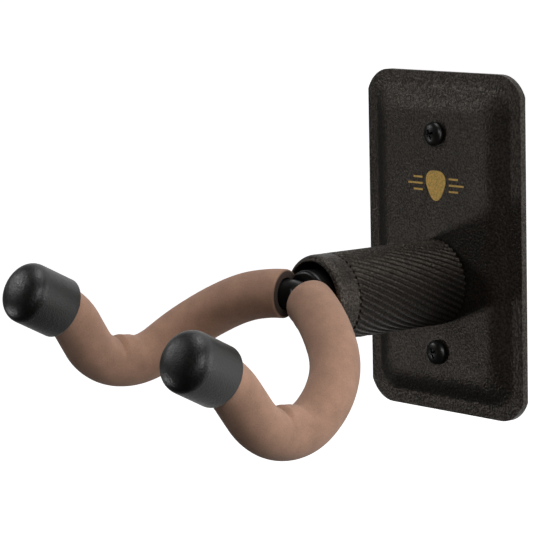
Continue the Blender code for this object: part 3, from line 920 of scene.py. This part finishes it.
class HANGER_OT_screws(bpy.types.Operator):
    """Makes the two pan-head wood screws with cross recess and wound thread"""

    bl_idname = "hanger.screws"
    bl_label = "Mounting screws"

    def execute(self, context):
        shank, core, crest = 0.0019, 0.0014, 0.0021
        plain, tip, pitch, rim = 0.0085, 0.0050, 0.0028, 0.0003
        for which, (low, high) in SCREWS.items():
            radius = (high.x - low.x) / 2
            seat = PANEL_FRONT + GAP
            head = -low.y - seat
            length = high.y + seat
            angles = np.linspace(0, pi / 2, 15)
            profile = [(radius * sin(a), head * (0.26 + 0.74 * cos(a))) for a in angles[:-1]]
            profile += arc(radius - rim, 2 * rim, rim, 60, 0, 3)
            profile += arc(radius - rim, rim, rim, 0, -90, 4)
            profile += [(shank, 0.0), (shank, 0.0010 - plain), (core, -plain)]
            profile += [(core, tip - length), (0.0, -length)]
            matrix = Matrix.Translation((0.0, -seat, (low.z + high.z) / 2)) @ OUT_OF_WALL
            name = "pan_head_screw_" + which
            screw = link(name, turned(name, profile, 48, matrix))
            cut(screw, [cross_recess(head, matrix)])
            # The thread is wound on the screw's own axis, so the screw goes there and back.
            pointing_in = matrix @ Matrix.Rotation(pi, 4, "X")
            screw.data.transform(pointing_in.inverted())
            turns = int((length - tip - plain) / pitch)
            grow(
                screw,
                tree_named("Screw thread", thread_tree),
                {
                    "Radius": core + 0.0001,
                    "Depth": crest - core,
                    "Pitch": pitch,
                    "Turns": float(turns),
                    "Tip Turns": 1.6,
                    "Start": length - tip - turns * pitch,
                    "Material": finish_of("black_steel"),
                },
            )
            screw.data.transform(pointing_in)
            complete(screw, "black_steel", "wall_bracket", "mounting_screw_" + which)
        return {"FINISHED"}


# ---- barrel --------------------------------------------------------------------------------------


class HANGER_OT_barrel(bpy.types.Operator):
    """Turns the barrel and rolls the spiral knurl into its skin"""

    bl_idname = "hanger.barrel"
    bl_label = "Knurled barrel"

    def execute(self, context):
        sizes = context.scene.hanger_sizes
        lip, lip_steps = 0.0030, 10
        depth = sizes.rib_depth
        band = BARREL_FRONT - sizes.front_band
        back = PANEL_FRONT + GAP
        floor = BARREL_FRONT - MOUTH_DEPTH
        squash = (BARREL_RADIUS - MOUTH_RADIUS - GAP) / lip
        groove = 0.0004
        ribs_front = band - 3 * groove
        mouth = arc(MOUTH_RADIUS + GAP, BARREL_FRONT - lip, lip, 90, 0, lip_steps, squash)
        section = [(r, h, 0.0) for r, h in mouth]
        section += [(BARREL_RADIUS, band, 0.0), (BARREL_RADIUS - depth, band - groove, 0.0)]
        section += [(BARREL_RADIUS - depth, band - 2.5 * groove, 0.0)]
        rows = 34
        for k in range(rows + 1):
            section.append((BARREL_RADIUS, ribs_front + (back - ribs_front) * k / rows, 1.0))
        section += [
            (SPIGOT_RADIUS, back, 0.0),
            (SPIGOT_RADIUS, SPIGOT_END + GAP, 0.0),
            (SPIGOT_RADIUS - GAP, SPIGOT_END, 0.0),
            (REAR_BORE + GAP, SPIGOT_END, 0.0),
            (REAR_BORE, SPIGOT_END + GAP, 0.0),
            (REAR_BORE, WEB_BACK, 0.0),
            (WEB_BORE, WEB_BACK, 0.0),
            (WEB_BORE, floor, 0.0),
            (MOUTH_RADIUS, floor, 0.0),
            (MOUTH_RADIUS, BARREL_FRONT - GAP, 0.0),
        ]
        columns = sizes.ribs * 10
        profile = [(r, h) for r, h, _ in section]
        mesh = turned("knurled_barrel", profile, columns, Matrix.Identity(4), closed=True)
        weights = np.repeat([w for _, _, w in section], columns).astype(np.float32)
        mesh.attributes.new("knurl", "FLOAT", "POINT").data.foreach_set("value", weights)
        barrel = link("knurled_barrel", mesh)
        grow(
            barrel,
            tree_named("Spiral knurl", knurl_tree),
            {
                "Ribs": sizes.ribs,
                "Depth": depth,
                "Helix": sizes.helix,
                "Radius": BARREL_RADIUS,
                "Material": finish_of("barrel_coat"),
            },
        )
        barrel.data.transform(ON_BARREL)
        complete(barrel, "barrel_coat", "wall_bracket", "barrel", sharp=50.0)
        return {"FINISHED"}


# ---- swivel stud and rod -------------------------------------------------------------------------


def swept(name, rows, sides):
    """A solid bar through rows of (centreline, distance, radius, order of turn)."""
    points = []
    for line, distance, radius, order in rows:
        point, spokes, _ = line.spokes(distance, sides, order)
        points += [tuple(point + out * radius) for out in spokes]
    faces = grid_faces(len(rows), sides, closed=False)
    faces += [tuple(range(sides)), tuple(range(len(points) - sides, len(points)))]
    return mesh_from(name, points, faces)


def bar(name, radius, reach, sides, step):
    """A round bar with rounded ends along both halves of the centreline, to the same reach."""
    edge = 0.0005
    count = max(2, round((reach - edge) / step))
    half = [((reach - edge) * k / count, radius) for k in range(count + 1)]
    half += [(reach - edge + edge * sin(a), radius - edge * (1 - cos(a))) for a in (pi / 6, pi / 3, pi / 2)]
    rows = [(line_of(-1), distance, r, -1) for distance, r in reversed(half)]
    return swept(name, rows + [(line_of(1), distance, r, 1) for distance, r in half[1:]], sides)


class HANGER_OT_stud(bpy.types.Operator):
    """Turns the swivel stud, cuts its saddle for the rod and sleeves, and winds its thread"""

    bl_idname = "hanger.stud"
    bl_label = "Swivel stud"

    def execute(self, context):
        head, collar, neck, shank, edge = 0.0097, 0.0075, 0.0060, 0.0040, 0.0014
        face = BARREL_FRONT + 0.0030
        bush_flange, thrust_washer = 0.0015, 0.0010
        shoulder = BARREL_FRONT - MOUTH_DEPTH + bush_flange + thrust_washer + 3 * GAP
        thread_depth, thread_front, pitch = 0.00065, 0.0165, 0.00125
        profile = [(0.0, face), (0.0040, face)]
        profile += arc(head - edge, face - edge, edge, 90, 0, 8)
        profile += [
            (head, face - 0.0080),
            (neck, face - 0.0105),
            (neck, shoulder + 0.0026),
            (collar, shoulder + 0.0020),
            (collar, shoulder),
            (shank, shoulder),
            (shank, thread_front + thread_depth),
            (shank - thread_depth, thread_front),
            (shank - thread_depth, STUD_END + 0.0005),
            (shank - thread_depth - 0.0005, STUD_END),
            (0.0, STUD_END),
        ]
        stud = link("swivel_stud_turned", turned("swivel_stud_turned", profile, 96, ON_BARREL))
        cutters = [bar("rod_channel", ROD_RADIUS + GAP, 0.016, 40, 0.001)]
        relief_rows, relief_sides = 16, 48
        for side in (-1, 1):
            near, radius = SLEEVE_START - GAP, SLEEVE_OUTER + GAP
            reach = [near + 0.016 * k / relief_rows for k in range(relief_rows + 1)]
            rows = [(line_of(side), distance, radius, 1) for distance in reach]
            cutters.append(swept("sleeve_relief", rows, relief_sides))
        cut(stud, cutters)
        stud.data.transform(ON_BARREL.inverted())
        grow(
            stud,
            tree_named("Screw thread", thread_tree),
            {
                "Radius": shank - thread_depth,
                "Depth": thread_depth,
                "Pitch": pitch,
                "Turns": (thread_front - STUD_END - 2 * thread_depth) / pitch,
                "Tip Turns": 0.0,
                "Start": STUD_END + thread_depth,
                "Material": finish_of("black_steel"),
            },
        )
        stud.data.transform(ON_BARREL)
        complete(stud, "black_steel", "yoke", "swivel_stud", sharp=30.0)
        return {"FINISHED"}


class HANGER_OT_rod(bpy.types.Operator):
    """Bends the yoke's rod from inside one end cap to inside the other"""

    bl_idname = "hanger.rod"
    bl_label = "Yoke rod"

    def execute(self, context):
        mesh = bar("bent_yoke_rod", ROD_RADIUS, CAP_START + ROD_INTO_CAP, 32, 0.0012)
        complete(link("bent_yoke_rod", mesh), "black_steel", "yoke", "yoke_rod")
        return {"FINISHED"}


# ---- foam sleeves --------------------------------------------------------------------------------


def plateau(offset, start, end):
    """1 between two places along the line, falling softly to 0 before and sharply after."""
    soft, sharp = 0.0010, 0.00035
    rise = 1 / (1 + np.exp(-(offset - start) / soft))
    return rise / (1 + np.exp((offset - end) / sharp))


class HANGER_OT_sleeves(bpy.types.Operator):
    """Draws a foam sleeve over each arm, gathered a little inside its low bend"""

    bl_idname = "hanger.sleeves"
    bl_label = "Foam sleeves"

    def execute(self, context):
        crease = context.scene.hanger_sizes.crease
        start, end = SLEEVE_START, CAP_START + SLEEVE_INTO_CAP
        rim = 0.0007
        outer_rows, bore_rows, sides = 128, 60, 56
        fold_place, fold_width = 0.0042, 0.0008
        for side, name in ((-1, "left"), (1, "right")):
            line = line_of(side)

            def swell(distance, radius, out, curving, line=line):
                """Height of the foam over a plain tube: gathered inside the bend, and uneven."""
                if radius < SLEEVE_OUTER - rim * 1.01:
                    return 0.0
                tightness = float(np.linalg.norm(curving))
                inside = max(0.0, float(out @ curving) / max(tightness, 1e-6))
                offset = distance - line.low_bend
                gathered = crease * inside**2 * plateau(offset, -0.0062, 0.0036)
                fold = -0.9 * crease * np.exp(-(((offset - fold_place) / fold_width) ** 2)) * inside**3
                point = line.at(distance)[0] + out * radius
                uneven = noise.noise(Vector(point) * 90.0) * 0.00010
                return fold + gathered + uneven

            share = (end - start - 2 * rim) / outer_rows
            outer = [(start + rim + share * k, SLEEVE_OUTER) for k in range(outer_rows + 1)]
            rounded = [(rim * sin(a), SLEEVE_OUTER - rim * (1 - cos(a))) for a in (0.5, 1.0, pi / 2)]
            far_rim = [(end - rim + on, radius) for on, radius in rounded]
            near_rim = [(start + rim - on, radius) for on, radius in reversed(rounded)]
            inner = [(end - (end - start) * k / bore_rows, SLEEVE_BORE) for k in range(bore_rows + 1)]
            section = outer + far_rim + inner + near_rim
            mesh = line.tube("foam_sleeve_" + name, section, sides, swell)
            # The sliced ends and the bore count as cut; the near rim fades into the skin.
            skin = [0.0] * len(outer) + [1.0] * (len(far_rim) + len(inner)) + [1.0, 0.3, 0.0]
            sliced = np.repeat(skin, sides).astype(np.float32)
            mesh.attributes.new("sliced", "FLOAT", "POINT").data.foreach_set("value", sliced)
            sleeve = link("foam_sleeve_" + name, mesh)
            complete(sleeve, "foam", "yoke", "sleeve_" + name, sharp=60.0)
        return {"FINISHED"}


# ---- end caps ------------------------------------------------------------------------------------


class HANGER_OT_end_caps(bpy.types.Operator):
    """Moulds the domed caps over the sleeves' ends"""

    bl_idname = "hanger.end_caps"
    bl_label = "End caps"

    def execute(self, context):
        edge, chamfer, dome = 0.0006, 0.0003, 0.0062
        height_power, width_power = 2 / 2.2, 2 / 2.4  # of a dome a little fuller than an ellipse
        profile = []
        for a in np.linspace(pi / 2, 0.0, 24):
            reach = sin(a) ** height_power
            profile.append((CAP_RADIUS * abs(cos(a)) ** width_power, CAP_LENGTH - dome * (1 - reach)))
        profile += arc(CAP_RADIUS - edge, edge, edge, 0, -90, 8)
        sleeve_hole = SLEEVE_OUTER + GAP
        rod_hole = ROD_RADIUS + GAP
        profile += [
            (sleeve_hole + chamfer, 0.0),
            (sleeve_hole, chamfer),
            (sleeve_hole, SLEEVE_INTO_CAP + GAP),
            (rod_hole, SLEEVE_INTO_CAP + GAP),
            (rod_hole, ROD_INTO_CAP + GAP),
            (0.0, ROD_INTO_CAP + GAP),
        ]
        for side, name in ((-1, "left"), (1, "right")):
            line = line_of(side)
            tip = line.at(CAP_START + CAP_LENGTH)[0]
            onward = Vector(line.tangents[-1])
            turn = onward.to_track_quat("Z", "Y").to_matrix().to_4x4()
            matrix = Matrix.Translation(Vector(tip) - onward * CAP_LENGTH) @ turn
            cap = link("moulded_cap_" + name, turned("moulded_cap_" + name, profile, 80, matrix))
            complete(cap, "cap_rubber", "yoke", "end_cap_" + name, sharp=40.0)
        return {"FINISHED"}


# ---- inner fittings ------------------------------------------------------------------------------


class HANGER_OT_inner_fittings(bpy.types.Operator):
    """Gives the bushes, washers, ring and nut that stay as they are their finishes"""

    bl_idname = "hanger.inner_fittings"
    bl_label = "Inner fittings"

    def execute(self, context):
        finishes = {
            "plated_steel": ("barrel_lock_ring", "wave_washer", "flat_washer", "lock_nut"),
            "nylon": ("front_bushing", "rear_bushing", "thrust_washer", "lock_nut_insert"),
        }
        for slot, nodes in finishes.items():
            for node in nodes:
                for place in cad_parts[node].material_slots:
                    place.material = finish_of(slot)
        return {"FINISHED"}


# ---- stage ---------------------------------------------------------------------------------------

CAMERA_TARGET = Vector((-0.09647, 0.0, -0.01702))
CAMERA_DISTANCE = 1.04723
CAMERA_AZIMUTH = radians(50.594)
CAMERA_ELEVATION = radians(7.649)
CAMERA_ROLL = radians(-1.204)
CAMERA_LENS = 195.94  # mm, on a sensor 36 mm wide
FLOOR_HEIGHT = -0.20


def soft_box(name, direction, distance, size, power):
    """A rectangular soft box that faces the middle of the hanger."""
    middle = Vector((0.0, -0.05, 0.0))
    lamp = bpy.data.lights.new(name, "AREA")
    lamp.shape = "RECTANGLE"
    lamp.size, lamp.size_y = size
    lamp.energy = power
    obj = bpy.data.objects.new(name, lamp)
    bpy.context.scene.collection.objects.link(obj)
    obj.location = middle + Vector(direction).normalized() * distance
    obj.rotation_euler = (middle - obj.location).to_track_quat("-Z", "Y").to_euler()


class HANGER_OT_stage(bpy.types.Operator):
    """Sets the camera, the pale floor, the soft boxes and the studio's fill light"""

    bl_idname = "hanger.stage"
    bl_label = "Studio stage"

    def execute(self, context):
        az, el = CAMERA_AZIMUTH, CAMERA_ELEVATION
        back = Vector((sin(az) * cos(el), -cos(az) * cos(el), sin(el)))
        right = Vector((cos(az), sin(az), 0.0))
        up = back.cross(right)
        turned_right = right * cos(CAMERA_ROLL) + up * sin(CAMERA_ROLL)
        turned_up = back.cross(turned_right)
        camera = bpy.data.objects.new("Camera", bpy.data.cameras.new("Camera"))
        camera.data.lens = CAMERA_LENS
        camera.data.sensor_width = 36.0
        camera.data.clip_start = 0.05
        camera.data.clip_end = 100.0
        axes = Matrix((turned_right, turned_up, back)).transposed().to_4x4()
        camera.matrix_world = Matrix.Translation(CAMERA_TARGET + back * CAMERA_DISTANCE) @ axes
        context.scene.collection.objects.link(camera)
        context.scene.camera = camera

        slab = [(0.0, FLOOR_HEIGHT), (30.0, FLOOR_HEIGHT)]
        slab += [(radius, height - 0.1) for radius, height in reversed(slab)]
        floor = link("Studio_floor", turned("Studio_floor", slab, 64, Matrix.Identity(4)))
        floor.data.materials.append(floor_paint(tuple(context.scene.hanger_colours.floor)))
        # The floor lights nothing, so that its glow doesn't flatten the hanger.
        floor.visible_glossy = False
        floor.visible_diffuse = False

        world = bpy.data.worlds.new("Studio")
        world.use_nodes = True
        tree = world.node_tree
        where = add_node(tree, "ShaderNodeTexCoord").outputs["Generated"]
        behind = add_node(tree, "ShaderNodeSeparateXYZ", None, {"Vector": where}).outputs["Y"]
        # Dark from the front and overhead, bright behind the wall's plane.
        share = add_node(
            tree,
            "ShaderNodeMapRange",
            {"From Min": 0.12, "From Max": 0.55},
            {"Value": behind},
            interpolation_type="SMOOTHSTEP",
        )
        ramp = add_node(tree, "ShaderNodeValToRGB", None, {"Fac": share.outputs["Result"]})
        ramp.color_ramp.elements[0].color = (0.02, 0.02, 0.02, 1.0)
        ramp.color_ramp.elements[1].color = (0.90, 0.90, 0.90, 1.0)
        tree.links.new(ramp.outputs["Color"], tree.nodes["Background"].inputs["Color"])
        context.scene.world = world
        context.scene.view_settings.view_transform = "Standard"

        # Name, direction, distance, size and power.
        soft_boxes = (
            ("Key_low_left", (-0.75, -0.62, -0.34), 0.55, (0.10, 0.10), 0.41),
            ("Fill_high_left", (-0.72, -0.50, 0.42), 0.6, (0.14, 0.14), 0.50),
            ("Front_right", (0.80, -0.46, 0.38), 1.2, (0.26, 0.26), 3.5),
            ("Top", (0.0, -0.05, 0.98), 0.9, (0.50, 0.40), 2.6),
            ("Edge_right", (0.97, 0.06, 0.10), 0.25, (0.05, 0.20), 0.19),
        )
        for box in soft_boxes:
            soft_box(*box)
        return {"FINISHED"}


# ---- panel and registration ----------------------------------------------------------------------

BUILD_STEPS = (
    HANGER_OT_stage,
    HANGER_OT_wall_plate,
    HANGER_OT_emblem,
    HANGER_OT_screws,
    HANGER_OT_barrel,
    HANGER_OT_stud,
    HANGER_OT_rod,
    HANGER_OT_sleeves,
    HANGER_OT_end_caps,
    HANGER_OT_inner_fittings,
)


class HANGER_PT_panel(bpy.types.Panel):
    """Lists the sizes, the colours and the steps of the build"""

    bl_idname = "HANGER_PT_panel"
    bl_label = "Wall guitar hanger"
    bl_space_type = "VIEW_3D"
    bl_region_type = "UI"
    bl_category = "Hanger"

    def draw(self, context):
        for group in (context.scene.hanger_sizes, context.scene.hanger_colours):
            box = self.layout.box()
            for name in group.__annotations__:
                box.prop(group, name)
        for step in BUILD_STEPS:
            self.layout.operator(step.bl_idname)


CLASSES = (HangerSizes, HangerColours, *BUILD_STEPS, HANGER_PT_panel)


def register():
    for made in CLASSES:
        bpy.utils.register_class(made)
    bpy.types.Scene.hanger_sizes = PointerProperty(type=HangerSizes)
    bpy.types.Scene.hanger_colours = PointerProperty(type=HangerColours)


def unregister():
    del bpy.types.Scene.hanger_colours
    del bpy.types.Scene.hanger_sizes
    for made in reversed(CLASSES):
        bpy.utils.unregister_class(made)


def main():
    register()
    for step in BUILD_STEPS:
        group, name = step.bl_idname.split(".")
        getattr(getattr(bpy.ops, group), name)()
    bpy.context.view_layer.update()


if __name__ == "__main__":
    main()
